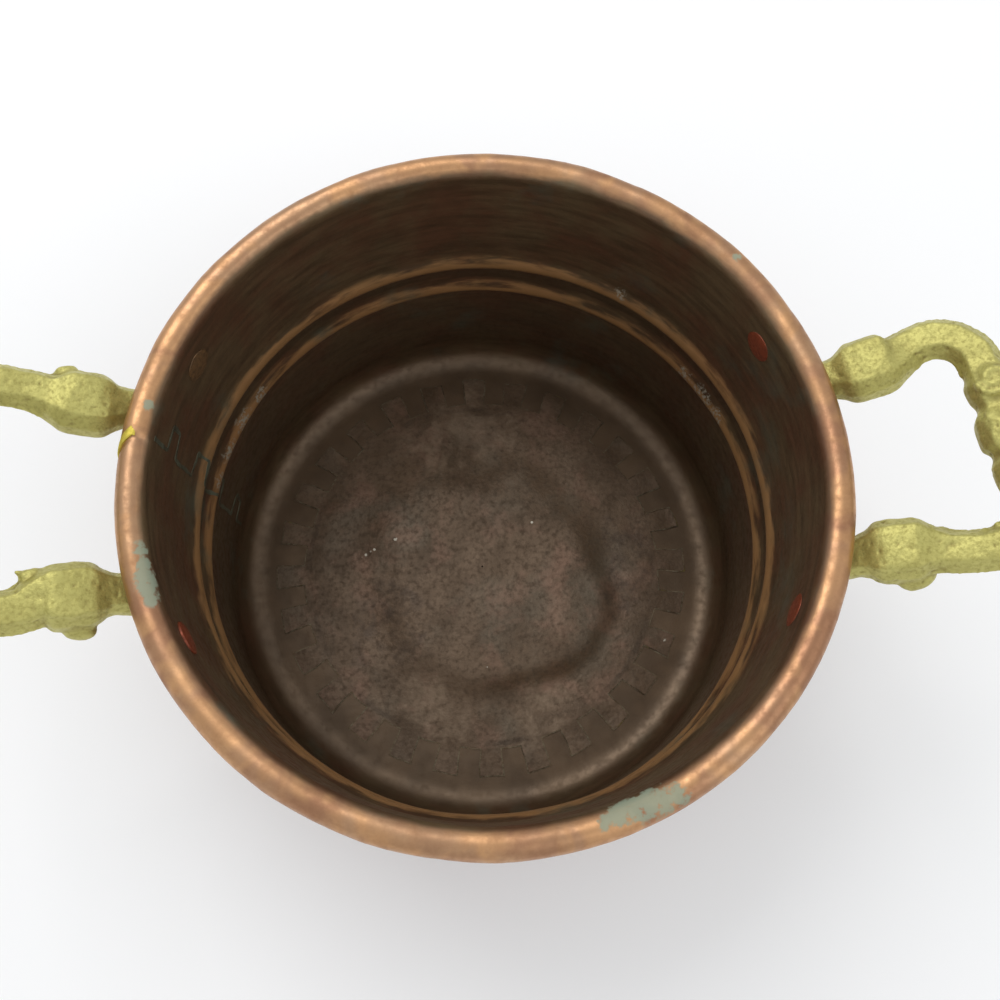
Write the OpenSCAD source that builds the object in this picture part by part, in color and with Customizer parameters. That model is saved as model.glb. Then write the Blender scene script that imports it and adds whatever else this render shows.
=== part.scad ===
// Copper cooking pot with a wired rim, a cramped and brazed seam, and two cast brass handles.
// Millimetres, +Z up. The origin is the middle of the underside, and the handles lie along X.

/* [Pot] */
// Diameter over the rolled rim
rim_d = 240; // [200:1:300]
// Height from the table to the top of the rim
pot_h = 146; // [130:1:200]
// Thickness of the copper sheet of the wall
wall_t = 1.8; // [1.2:0.1:2.4]
// Inside radius of the corner between wall and floor
corner_r = 12; // [8:0.5:16]

/* [Rolled rim] */
// Diameter of the iron wire inside the rim
wire_d = 6.4; // [5:0.1:8]
// Room between the wire and the sheet that is rolled round it
wire_fit = 0.1; // [0.05:0.05:0.3]
// Gap left between the rolled edge and the wall below the rim
roll_gap = 0.4; // [0.2:0.1:0.8]

/* [Swaged beads] */
// Depth of the upper bead's crest below the top of the rim
bead_drop = 61; // [50:1:66]
// Distance from the upper bead's crest down to the lower one's
bead_pitch = 18.5; // [16:0.5:24]
// Height of the wall that one bead takes up
bead_w = 13; // [8:0.5:15]
// How far a bead stands into the pot
bead_rise = 2.4; // [1:0.1:4]

/* [Side seam] */
// Direction of the seam, from the right handle
seam_angle = 170; // [166:1:194]
// How far the seam leans sideways from top to bottom
seam_lean = 7; // [0:0.5:12]
// Width of the brazed joint
seam_w = 1.2; // [0.8:0.1:2]
// Length of a tab of the seam
tab_l = 9; // [5:0.5:12]
// Width of a tab at its root
tab_w = 10; // [6:0.5:14]
// How much narrower a tab is at its tip
tab_taper = 2; // [0:0.5:4]
// Depth of the first tab below the top of the rim
tab_drop = 25; // [20:1:28]
// Distance between tabs
tab_pitch = 31; // [24:1:34]
// Thickness of the brass run over the rim at the seam
patch_t = 0.5; // [0.3:0.1:1]
// Width of that brass patch along the rim
patch_w = 15; // [8:0.5:20]

/* [Bottom] */
// Thickness of the bottom plate
base_t = 2; // [1.4:0.1:3]
// Number of cramps round the bottom plate
cramps = 28; // [16:1:36]
// Length of a cramp
cramp_l = 12; // [8:0.5:16]
// Flat flange left between the cramps and the corner
cramp_margin = 5; // [3:0.5:10]
// Share of the pitch that a cramp fills at its root
cramp_share = 0.5; // [0.35:0.01:0.6]
// Width of the brazed joint round the cramps
cramp_gap = 0.9; // [0.6:0.1:1.4]
// How far the brazing stands above the sheet
spelter_rise = 0.3; // [0.1:0.1:0.6]
// Width of the flat ring inside the cramps
ring_w = 12; // [8:1:20]
// Width of the slope from the ring to the raised middle
slope_w = 16; // [8:1:24]
// Height to which the middle of the bottom is pushed up
push_up = 2.6; // [1:0.1:5]

/* [Rivets] */
// Distance between the two rivets of a handle
rivet_span = 97; // [90:1:110]
// Depth of the rivets below the top of the rim
rivet_drop = 18.5; // [18:0.5:24]
// Diameter of a rivet's shank
shank_d = 6; // [4:0.5:8]
// Room round the shank in its holes
shank_fit = 0.1; // [0.05:0.05:0.3]
// Diameter of a rivet's heads
head_d = 12; // [10:0.5:13]
// Height of the flat head inside the pot
inner_head_h = 1.4; // [0.8:0.1:2.5]
// Height of the hammered head outside
outer_head_h = 3; // [2:0.1:4]

/* [Handle feet] */
// Radius of the round end of a foot, about the rivet
foot_end_r = 7.2; // [6.8:0.1:7.4]
// Radius of the foot where the arm grows out of it
foot_root_r = 8; // [7:0.1:9]
// Thickness of a foot
foot_t = 3.6; // [2.5:0.1:5]
// Depth of the arms' roots below the top of the rim
root_drop = 21; // [20:0.5:26]

/* [Handle casting] */
// Distance between the middle lines of the two arms at the wall
root_span = 64; // [56:1:70]
// Distance between the middle lines of the two arms at the shoulders
shoulder_span = 75; // [68:1:84]
// Distance from the wall to the middle line of the grip
reach = 63; // [56:1:75]
// Radius of the bend from an arm into the grip
shoulder_r = 16; // [13:0.5:19]
// How far one shoulder stands further out than the other
skew = 8; // [0:0.5:10]
// How far the grip leans to one side
lean = 4; // [0:0.5:6]
// Upward slope of the handle, in degrees
rise_angle = 24; // [10:1:30]
// Width of an arm
arm_w = 13; // [10:0.5:16]
// Height of an arm
arm_h = 11.5; // [9:0.5:14]
// How much wider an arm is where it meets the wall
root_flare = 3; // [0:0.5:5]
// Width of a knuckle
knuckle_w = 22; // [18:0.5:26]
// Height of a knuckle
knuckle_h = 18; // [14:0.5:22]
// Distance from the wall to the middle of a knuckle
knuckle_at = 24; // [22:0.5:27]
// Length of a knuckle
knuckle_l = 18; // [14:0.5:20]
// Width of the scroll lobes on the grip
lobe_w = 18; // [14:0.5:20]
// Length of a scroll lobe along the grip
lobe_l = 10; // [7:0.5:11]
// Width of the boss in the middle of the grip
boss_w = 20; // [14:0.5:22]
// Length of the boss along the grip
boss_l = 13; // [9:0.5:14]
// How much the lobes and boss add to the grip's height, for each part that they add to its width
grip_rise = 0.6; // [0.3:0.05:1]

/* [Hidden] */
$fn = 96;
bead_steps = 8;     // points along half of a bead
corner_steps = 8;   // points round the corner of the wall
roll_steps = 15;    // points round each half of the rolled rim
slope_steps = 8;    // points down the slope of the bottom
ring_steps = 3;     // handle sections between two points of its path
bend_steps = 4;     // path points round a bend of the handle
bend_trim = 4;      // degrees of a bend left to the smooth curve at each end
overlap = 0.6;      // how far fused bodies run into each other
past = 1;           // how far a cutting body runs past what it cuts
head_edge = 0.5;    // height of the upright edge of a domed rivet head
root_in = 5;        // how far a casting's arm starts inside the wall, where it is cut to the wall
root_lead = 4;      // straight length of an arm before its knuckle

copper = "#9a5f3c";
dark_copper = "#6b4a35";
red_copper = "#a4492c";
brass = "#b9ad52";
spelter = "#b89a4a";
iron = "#4a4644";

// Rim and wall
wire_room = wire_d / 2 + wire_fit;
roll_r = wire_room + wall_t;
wall_in = rim_d / 2 - 2 * roll_r;
wall_out = wall_in + wall_t;
wire_ring = wall_out + wire_room;
wire_z = pot_h - roll_r;
roll_end = 90 + asin((wire_room - roll_gap) / roll_r);
corner_in = wall_in - corner_r;
corner_z = wall_t + corner_r;
bead_at = [pot_h - bead_drop, pot_h - bead_drop - bead_pitch];

// Bottom
cramp_out = corner_in - cramp_margin;
cramp_in = cramp_out - cramp_l;
slope_out = cramp_in - ring_w;
slope_in = slope_out - slope_w;

// Rivets and feet
rivet_angle = asin(rivet_span / 2 / wall_out);
root_angle = asin(root_span / 2 / wall_out);
rivet_z = pot_h - rivet_drop;
root_z = pot_h - root_drop;
foot_out = wall_out + foot_t;

// A point of a smooth curve between b and c (Catmull-Rom), t from 0 to 1
function blend_point(a, b, c, d, t) =
    0.5 * (2 * b + (c - a) * t + (2 * a - 5 * b + 4 * c - d) * t * t + (3 * b - a - 3 * c + d) * t * t * t);
function at_end(list, i) = list[max(0, min(len(list) - 1, i))];
function smooth(list, steps) = [
    for (i = [0 : len(list) - 2], j = [0 : steps - 1])
        blend_point(at_end(list, i - 1), list[i], list[i + 1], at_end(list, i + 2), j / steps),
    list[len(list) - 1]
];
// A swelling of length l about s0: flat on top, and steep at both ends
function swell(s, s0, l) = 1 / (1 + pow(abs(s - s0) / (l / 2), 6));

function arc(centre, r, from, to, steps) =
    [for (i = [0 : steps]) let(a = from + (to - from) * i / steps) centre + r * [cos(a), sin(a)]];
// One face of the sheet, d outside its inner face: flange, corner, wall with its beads, and roll
function sheet_face(d) = [
    [cramp_in - past, wall_t - d],
    each arc([corner_in, corner_z], corner_r + d, -90, 0, corner_steps),
    for (k = [1, 0], i = [-bead_steps : bead_steps])
        [wall_in + d - bead_rise * (1 + cos(180 * i / bead_steps)) / 2, bead_at[k] + i * bead_w / 2 / bead_steps],
    each arc([wire_ring, wire_z], roll_r - d, 180, 0, roll_steps),
    each arc([wire_ring, wire_z], roll_r - d, -roll_end / roll_steps, -roll_end, roll_steps - 1)
];

module wall_section() {
    outer = sheet_face(wall_t);
    polygon(concat(sheet_face(0), [for (i = [len(outer) - 1 : -1 : 0]) outer[i]]));
}

// Outline of the bottom plate with its cramps, all round larger by grow
module cramp_outline(grow) {
    pitch = 360 / cramps;
    half = pitch * cramp_share / 2;
    r0 = cramp_in + grow;
    r1 = cramp_out + grow;
    more0 = grow / r0 * 180 / PI;
    more1 = grow / r1 * 180 / PI;
    polygon([for (k = [0 : cramps - 1], p = [[r0, -half - more0], [r1, -half - more1],
        [r1, half + more1], [r0, half + more0]]) p[0] * [cos(k * pitch + p[1]), sin(k * pitch + p[1])]]);
}

// Zigzag line of the side seam, seen from outside: sideways, then up
function seam_x(z) = seam_lean * (z / pot_h - 0.5);
seam_path = [
    [seam_x(-past), -past],
    for (z = [pot_h - tab_drop - tab_pitch * floor((pot_h - tab_drop - corner_z - tab_w) / tab_pitch)
        : tab_pitch : pot_h - tab_drop])
        each [
            [seam_x(z - tab_w / 2), z - tab_w / 2],
            [seam_x(z) - tab_l, z - (tab_w - tab_taper) / 2],
            [seam_x(z) - tab_l, z + (tab_w - tab_taper) / 2],
            [seam_x(z + tab_w / 2), z + tab_w / 2]
        ],
    [seam_x(pot_h + past), pot_h + past]
];

module seam_line() {
    for (i = [0 : len(seam_path) - 2]) {
        d = seam_path[i + 1] - seam_path[i];
        translate(seam_path[i]) rotate(atan2(d[1], d[0]))
            translate([-seam_w / 2, -seam_w / 2]) square([norm(d) + seam_w, seam_w]);
    }
}

// The seam line driven straight through the wall and flange
module seam_cut() {
    rotate([0, 0, seam_angle]) translate([cramp_out - cramp_margin, 0, 0])
        rotate([90, 0, 90]) linear_extrude(rim_d / 2 - cramp_out + cramp_margin + past) seam_line();
}

module plain_wall() {
    difference() {
        rotate_extrude() wall_section();
        translate([0, 0, -past]) linear_extrude(wall_t + 2 * past) cramp_outline(cramp_gap / 2);
        for (side = [0, 180], a = [-rivet_angle, rivet_angle]) at_rivet(side + a)
            cylinder(h = wall_out - wall_in + 2 * bead_rise, r = shank_d / 2 + shank_fit, center = true);
    }
}

// Local frame on the wall at a rivet: Z points out of the pot
module at_rivet(a) {
    rotate([0, 0, a]) translate([(wall_in + wall_out) / 2, 0, rivet_z]) rotate([0, 90, 0]) children();
}

module wall() {
    color(copper) difference() {
        plain_wall();
        seam_cut();
    }
}

module rim_wire() {
    color(iron) rotate_extrude() translate([wire_ring, wire_z]) circle(wire_d / 2);
}

module base_plate() {
    color(dark_copper) {
        linear_extrude(base_t) difference() {
            cramp_outline(-cramp_gap / 2);
            circle(slope_out);
        }
        rotate_extrude() polygon([
            [0, push_up],
            for (s = [0 : slope_steps]) [slope_in + slope_w * s / slope_steps, raised(s / slope_steps)],
            [slope_out + overlap, 0],
            [slope_out + overlap, base_t],
            for (s = [slope_steps : -1 : 0]) [slope_in + slope_w * s / slope_steps, base_t + raised(s / slope_steps)],
            [0, base_t + push_up]
        ]);
    }
}
// Height of the pushed-up middle along its slope, t from 0 inside to 1 outside
function raised(t) = push_up * (1 + cos(180 * t)) / 2;

module base_seam_spelter() {
    color(spelter) linear_extrude(max(base_t, wall_t) + spelter_rise) difference() {
        cramp_outline(cramp_gap / 2);
        cramp_outline(-cramp_gap / 2);
    }
}

module side_seam_spelter() {
    patch_a = patch_w / (rim_d / 2) * 180 / PI;
    patch_to = asin((seam_x(wire_z) + seam_w / 2) / (rim_d / 2));
    color(spelter) {
        intersection() {
            plain_wall();
            seam_cut();
        }
        // brass run over the outside of the rim
        rotate([0, 0, seam_angle + patch_to - patch_a]) rotate_extrude(angle = patch_a)
            translate([wire_ring, wire_z]) difference() {
                circle(roll_r + patch_t);
                circle(roll_r);
                translate([-2 * roll_r, -2 * roll_r]) square([2 * roll_r, 4 * roll_r]);
            }
    }
}

// Middle line of the casting in its own sloping plane: out along one arm, round the grip and back
knuckle_from = knuckle_at - knuckle_l / 2;
knuckle_to = knuckle_at + knuckle_l / 2;
arm_y = shoulder_span / 2;
lobe_y = shoulder_span / 5;
// Where the arm stands between its root (share 0) and its shoulder (share 1)
function spread(share) = root_span / 2 + (arm_y - root_span / 2) * share;
function arm_path(out) = [
    [-root_in, spread(0)],
    [knuckle_from - root_lead, spread(0)],
    [knuckle_from, spread(0)],
    [knuckle_at, spread(0.1)],
    [knuckle_to, spread(0.35)],
    [(knuckle_to + out - shoulder_r) / 2, spread(0.8)],
    each arc([out - shoulder_r, arm_y - shoulder_r], shoulder_r, 90 - bend_trim, bend_trim, bend_steps)
];
function grip_x(y) = reach - skew * y / shoulder_span;
grip_ys = [lobe_y, lobe_y / 2, 0];
handle_path = smooth([for (p = concat(
    arm_path(reach - skew / 2),
    [for (y = grip_ys) [grip_x(y), y]],
    [for (i = [len(grip_ys) - 2 : -1 : 0]) [grip_x(-grip_ys[i]), -grip_ys[i]]],
    [for (i = [len(arm_path(0)) - 1 : -1 : 0]) [arm_path(reach + skew / 2)[i][0], -arm_path(0)[i][1]]]
)) [p[0], p[1] + lean * max(p[0], 0) / reach]], ring_steps);

// Share by which the section swells at a point of the path: knuckles on the arms, lobes on the grip
function knuckle_share(p) = swell(p[0], knuckle_at, knuckle_l);
function lobe_share(p) = swell(p[1] - lean, lobe_y, lobe_l) + swell(p[1] - lean, -lobe_y, lobe_l);
function boss_share(p) = swell(p[1] - lean, 0, boss_l);
function root_share(p) = p[0] < knuckle_from ? pow(1 - max(p[0], 0) / knuckle_from, 2) : 0;
function grip_more(p) = (lobe_w - arm_w) * lobe_share(p) + (boss_w - arm_w) * boss_share(p);
function half_w(p) =
    (arm_w + (knuckle_w - arm_w) * knuckle_share(p) + grip_more(p) + root_flare * root_share(p)) / 2;
function half_h(p) = (arm_h + (knuckle_h - arm_h) * knuckle_share(p) + grip_more(p) * grip_rise) / 2;

// Cross-section of the casting: a flat top, sloping cheeks and a narrower underside
section = [[0.62, 1], [0.95, 0.45], [1, -0.1], [0.8, -0.75], [0.42, -1],
    [-0.42, -1], [-0.8, -0.75], [-1, -0.1], [-0.95, 0.45], [-0.62, 1]];

function ring_points(i) = let(
    p = handle_path[i],
    d = at_end(handle_path, i + 1) - at_end(handle_path, i - 1),
    n = [d[1], -d[0]] / norm(d)
) [for (q = section) [p[0] + n[0] * q[0] * half_w(p), p[1] + n[1] * q[0] * half_w(p), q[1] * half_h(p)]];

module casting() {
    rings = len(handle_path);
    m = len(section);
    polyhedron(
        points = [for (i = [0 : rings - 1]) each ring_points(i)],
        faces = concat(
            [for (i = [0 : rings - 2], j = [0 : m - 1])
                each [[i * m + j, (i + 1) * m + j, i * m + (j + 1) % m],
                    [i * m + (j + 1) % m, (i + 1) * m + j, (i + 1) * m + (j + 1) % m]]],
            [[for (j = [0 : m - 1]) j]],
            [[for (j = [m - 1 : -1 : 0]) (rings - 1) * m + j]]
        )
    );
}

// Outline of a foot seen along its rivet: two circles and the straight sides that touch both
module foot_outline(side) {
    a = [0, 0];
    b = [wall_out * sin(rivet_angle - root_angle) * -side, root_z - rivet_z];
    d = norm(b - a);
    dir = atan2(b[1] - a[1], b[0] - a[0]);
    open = acos((foot_end_r - foot_root_r) / d);
    circle(foot_end_r);
    translate(b) circle(foot_root_r);
    polygon([for (e = [[a, foot_end_r, 1], [b, foot_root_r, 1], [b, foot_root_r, -1], [a, foot_end_r, -1]])
        e[0] + e[1] * [cos(dir + e[2] * open), sin(dir + e[2] * open)]]);
}

module handle() {
    difference() {
        union() {
            translate([wall_out, 0, root_z]) rotate([0, -rise_angle, 0]) casting();
            for (side = [-1, 1]) intersection() {
                rotate([0, 0, side * rivet_angle]) translate([0, 0, rivet_z]) rotate([90, 0, 90])
                    linear_extrude(foot_out + past) foot_outline(side);
                cylinder(h = pot_h, r = foot_out);
            }
        }
        translate([0, 0, -past]) cylinder(h = pot_h + 2 * past, r = wall_out);
        for (side = [-1, 1]) at_rivet(side * rivet_angle) cylinder(h = 2 * foot_out, r = shank_d / 2 + shank_fit);
    }
}

module right_handle() {
    color(brass) handle();
}

module left_handle() {
    color(brass) rotate([0, 0, 180]) handle();
}

// One rivet: flat head inside, shank through wall and foot, domed head outside
module rivet(a) {
    dome_h = outer_head_h - head_edge;
    dome_r = (pow(head_d / 2, 2) + dome_h * dome_h) / (2 * dome_h);
    color(red_copper) rotate([0, 0, a]) translate([0, 0, rivet_z]) {
        intersection() {
            translate([wall_in - inner_head_h, 0, 0]) rotate([0, 90, 0])
                cylinder(h = inner_head_h + past, r = head_d / 2);
            translate([0, 0, -rivet_z]) cylinder(h = pot_h, r = wall_in);
        }
        translate([wall_in - inner_head_h / 2, 0, 0]) rotate([0, 90, 0])
            cylinder(h = foot_out - wall_in + inner_head_h, r = shank_d / 2);
        difference() {
            translate([foot_out - past, 0, 0]) rotate([0, 90, 0]) rotate_extrude() intersection() {
                translate([0, past + outer_head_h - dome_r]) circle(dome_r);
                square([head_d / 2, past + outer_head_h]);
            }
            translate([0, 0, -rivet_z]) cylinder(h = pot_h, r = foot_out);
        }
    }
}

module right_front_rivet() { rivet(-rivet_angle); }
module right_back_rivet() { rivet(rivet_angle); }
module left_front_rivet() { rivet(180 + rivet_angle); }
module left_back_rivet() { rivet(180 - rivet_angle); }

wall();
rim_wire();
base_plate();
side_seam_spelter();
base_seam_spelter();
right_handle();
left_handle();
right_front_rivet();
right_back_rivet();
left_front_rivet();
left_back_rivet();
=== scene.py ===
import math
import bpy
import bmesh
import numpy as np
from mathutils import Matrix, Vector


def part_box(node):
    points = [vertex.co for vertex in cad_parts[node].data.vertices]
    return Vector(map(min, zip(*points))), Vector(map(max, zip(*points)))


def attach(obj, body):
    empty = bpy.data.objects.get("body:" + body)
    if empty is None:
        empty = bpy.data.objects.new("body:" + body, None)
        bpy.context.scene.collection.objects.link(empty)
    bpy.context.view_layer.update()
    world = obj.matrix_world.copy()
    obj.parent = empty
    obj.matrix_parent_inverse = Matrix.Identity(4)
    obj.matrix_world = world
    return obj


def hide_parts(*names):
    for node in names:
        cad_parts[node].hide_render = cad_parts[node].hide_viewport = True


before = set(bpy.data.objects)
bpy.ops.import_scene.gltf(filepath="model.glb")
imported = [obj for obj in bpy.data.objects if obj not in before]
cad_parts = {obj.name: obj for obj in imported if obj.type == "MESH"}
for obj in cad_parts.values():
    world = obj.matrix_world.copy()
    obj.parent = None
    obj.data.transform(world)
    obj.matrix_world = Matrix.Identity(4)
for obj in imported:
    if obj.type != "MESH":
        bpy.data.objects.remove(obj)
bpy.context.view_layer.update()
print("frame loaded:", len(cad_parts), "nodes")

mm = 0.001  # every size below is in millimetres, and meshes are made in metres


# Small helpers

def smoothStep(low, high, x):
    t = np.clip((x - low) / (high - low), 0, 1)
    return t * t * (3 - 2 * t)


def latticeValue(ix, iy, iz, seed):  # one fixed random number from -1 to 1 per lattice point
    n = (ix * 73856093) ^ (iy * 19349663) ^ (iz * 83492791) ^ (seed * 7919)
    n = (n ^ (n >> 13)) * 1274126177 & 0xffffffff
    return ((n ^ (n >> 16)) & 0xffff) / 32767.5 - 1


def lumps(points, size, seed):  # smooth unevenness from -1 to 1, with lumps about size mm apart
    q = np.asarray(points, float) / size + 100
    base = np.floor(q).astype(np.int64)
    t = q - base
    t = t * t * (3 - 2 * t)
    total = 0
    for corner in range(8):
        dx, dy, dz = corner & 1, corner >> 1 & 1, corner >> 2
        share = (np.where(dx, t[..., 0], 1 - t[..., 0]) * np.where(dy, t[..., 1], 1 - t[..., 1])
                 * np.where(dz, t[..., 2], 1 - t[..., 2]))
        total = total + share * latticeValue(base[..., 0] + dx, base[..., 1] + dy, base[..., 2] + dz, seed)
    return total


def onCylinder(angle, radius, height):  # angle in degrees
    a = np.radians(angle)
    return np.stack(np.broadcast_arrays(radius * np.cos(a), radius * np.sin(a), height), -1)


def roundTheWay(angle, given):  # value round the pot, drawn straight from one (angle, value) pair to the next
    angles = [a for a, _ in given]
    values = [v for _, v in given]
    angles, values = [angles[-1] - 360, *angles, angles[0] + 360], [values[-1], *values, values[0]]
    return np.interp(np.mod(angle, 360), angles, values)


def makePiece(name, points, faces, material, sharpAngle=38):
    mesh = bpy.data.meshes.new(name)
    mesh.from_pydata((np.asarray(points, float).reshape(-1, 3) * mm).tolist(), [], [list(f) for f in faces])
    form = bmesh.new()
    form.from_mesh(mesh)
    bmesh.ops.remove_doubles(form, verts=form.verts, dist=0.00001)
    bmesh.ops.dissolve_degenerate(form, edges=form.edges, dist=0.000005)
    bmesh.ops.recalc_face_normals(form, faces=form.faces)
    for face in form.faces:
        face.smooth = True
    form.to_mesh(mesh)
    form.free()
    mesh.set_sharp_from_angle(angle=math.radians(sharpAngle))
    mesh.materials.append(material)
    piece = bpy.data.objects.new(name, mesh)
    bpy.context.scene.collection.objects.link(piece)
    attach(piece, "root")
    return piece


def ringFaces(rings, size):  # four-sided faces between rings of size points each
    return [(i * size + k, i * size + (k + 1) % size, (i + 1) * size + (k + 1) % size, (i + 1) * size + k)
            for i in range(rings - 1) for k in range(size)]


def solidFromCells(top, bottom, wanted):  # closed solid from the wanted cells of a grid with two faces
    rows, columns = top.shape[:2]
    number = np.arange(rows * columns).reshape(rows, columns)
    under = rows * columns
    faces = []

    def side(a, b):
        faces.append((a, b, b + under, a + under))

    for i, j in zip(*np.nonzero(wanted)):
        k = (j + 1) % columns
        a, b, c, d = number[i, j], number[i + 1, j], number[i + 1, k], number[i, k]
        faces.append((a, b, c, d))
        faces.append((d + under, c + under, b + under, a + under))
        if i == 0 or not wanted[i - 1, j]:
            side(d, a)
        if i == rows - 2 or not wanted[i + 1, j]:
            side(b, c)
        if not wanted[i, j - 1]:
            side(a, b)
        if not wanted[i, k]:
            side(c, d)
    points = np.concatenate([top.reshape(-1, 3), bottom.reshape(-1, 3)])
    used = np.unique(np.array(faces))
    place = np.zeros(len(points), int)
    place[used] = np.arange(len(used))
    return points[used], place[np.array(faces)]


# Materials

def colour(code):  # sRGB hex to the linear colour that Blender works in
    parts = [int(code[i:i + 2], 16) / 255 for i in (0, 2, 4)]
    return tuple(p / 12.92 if p <= 0.04045 else ((p + 0.055) / 1.055) ** 2.4 for p in parts) + (1,)


def perMetre(size):  # texture scale for a pattern whose grains are size mm apart
    return 1 / (size * mm)


def addNode(tree, kind, inputs, **settings):
    node = tree.nodes.new("ShaderNode" + kind)
    for name, value in settings.items():
        setattr(node, name, value)
    for name, value in inputs.items():
        if isinstance(value, bpy.types.NodeSocket):
            tree.links.new(value, node.inputs[name])
        else:
            node.inputs[name].default_value = value
    return node


def newMaterial(name, metallic=1.0, roughness=0.5):
    material = bpy.data.materials.new(name)
    material.use_nodes = True
    tree = material.node_tree
    shader = tree.nodes["Principled BSDF"]
    shader.inputs["Metallic"].default_value = metallic
    shader.inputs["Roughness"].default_value = roughness
    place = addNode(tree, "TexCoord", {}).outputs["Object"]
    return material, tree, shader, place


def facingIn(tree, place):  # 1 where a face looks to the pot's middle or up, 0 where it looks outwards
    normal = addNode(tree, "TexCoord", {}).outputs["Normal"]
    flat = addNode(tree, "VectorMath", {0: place, 1: (1, 1, 0)}, operation="MULTIPLY").outputs[0]
    turned = addNode(tree, "VectorMath", {0: normal, 1: flat}, operation="DOT_PRODUCT").outputs["Value"]
    return addNode(tree, "MapRange", {"Value": turned, "From Min": 30 * mm, "From Max": 5 * mm}).outputs[0]


def blendColours(tree, base, layers):  # lays (mask, colour) layers over the base, one after the other
    for mask, code in layers:
        node = addNode(tree, "Mix", {0: mask, 6: base, 7: colour(code)}, data_type="RGBA")
        base = node.outputs[2]
    return base


# cloudy mask from 0 to 1
def grains(tree, place, size, low=0.35, high=0.65, detail=4, stretch=None, twist=0):
    if stretch:
        place = addNode(tree, "VectorMath", {0: place, 1: stretch}, operation="MULTIPLY").outputs[0]
    noise = addNode(tree, "TexNoise", {"Vector": place, "Scale": perMetre(size), "Detail": detail,
                                       "Roughness": 0.6, "Distortion": twist})
    return addNode(tree, "MapRange",
                   {"Value": noise.outputs[0], "From Min": low, "From Max": high}).outputs[0]


def multiply(tree, a, b):
    return addNode(tree, "Math", {0: a, 1: b}, operation="MULTIPLY").outputs[0]


def spotMask(tree, place, ragged, spots):  # ragged patches: (x, y, z) centre, radius, in mm
    mask = None
    for x, y, z, radius in spots:
        away = addNode(tree, "VectorMath", {0: place, 1: (x * mm, y * mm, z * mm)},
                       operation="DISTANCE").outputs["Value"]
        edge = addNode(tree, "Math", {0: ragged, 1: radius * 0.9 * mm, 2: away},
                       operation="MULTIPLY_ADD").outputs[0]
        near = addNode(tree, "MapRange",
                       {"Value": edge, "From Min": radius * 1.35 * mm,
                        "From Max": radius * 0.95 * mm}).outputs[0]
        mask = near if mask is None else addNode(tree, "Math", {0: mask, 1: near},
                                                 operation="MAXIMUM").outputs[0]
    return mask


# mask along value = target mm, its edge moved by wobble
def lineMask(tree, value, wobble, target, halfWidth):
    moved = addNode(tree, "Math", {0: wobble, 1: halfWidth * 0.8 * mm, 2: value},
                    operation="MULTIPLY_ADD").outputs[0]
    away = addNode(tree, "Math", {0: moved, 1: (target + halfWidth * 0.4) * mm},
                   operation="SUBTRACT").outputs[0]
    away = addNode(tree, "Math", {0: away}, operation="ABSOLUTE").outputs[0]
    return addNode(tree, "MapRange",
                   {"Value": away, "From Min": halfWidth * mm, "From Max": halfWidth * 0.4 * mm}).outputs[0]


def radiusOf(tree, place):  # distance from the pot's middle line
    flat = addNode(tree, "VectorMath", {0: place, 1: (1, 1, 0)}, operation="MULTIPLY").outputs[0]
    return addNode(tree, "VectorMath", {0: flat}, operation="LENGTH").outputs["Value"]


copperLook = {
    "rim": "bd9673", "rimRed": "a06f53", "rimDark": "7a5640", "rimWarm": "c99b70", "outside": "8a5940",
    # bead is the colour of the beads' crests, partly polish from wear and partly a painted highlight;
    # insideDark also paints shade low in the pot and between the beads
    "inside": "745f44", "insideRed": "704e38", "insideDark": "4a3a28", "bead": "c4935f",
    "lime": "b3ab98", "green": "5f7062", "verdigris": "8b9883", "bottom": "68543f", "bottomDark": "4d3d2c",
    "cloud": 26, "fleck": 3.2, "hammer": 9, "streak": 5, "pit": 0.7, "beads": (66.5, 85), "beadHalf": 4,
    # x, y, z and radius of ragged spots, in mm
    "verdigrisSpots": [(-108.9, -21.9, 145, 2.6), (-108, -26.5, 145, 3), (-107, -30.5, 145, 4),
                       (-105.8, -35, 145, 3.8),
                       (-105, -37.8, 145, 2.6), (-108.8, 25.8, 145, 2.2), (89.5, 73.2, 144.5, 2), (28.2, -110,
                               145, 2.6),
                       (32.8, -107.5, 145, 4), (37.3, -106.5, 145, 4.6), (41.8, -105.4, 145, 4.6), (46,
                               -104.6, 145, 4.2),
                       (50.3, -103.6, 145, 3.6)],
    "limeSpots": [(97, 45, 67, 4), (92, 54, 67, 5), (86, 63, 67, 4), (-88, 61, 67, 4), (-95, 50, 67, 5),
                  (-101, 37, 66, 5),
                  (-104, 25, 66, 4), (60, 92, 88, 3), (100, 30, 90, 3)],
}


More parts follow.
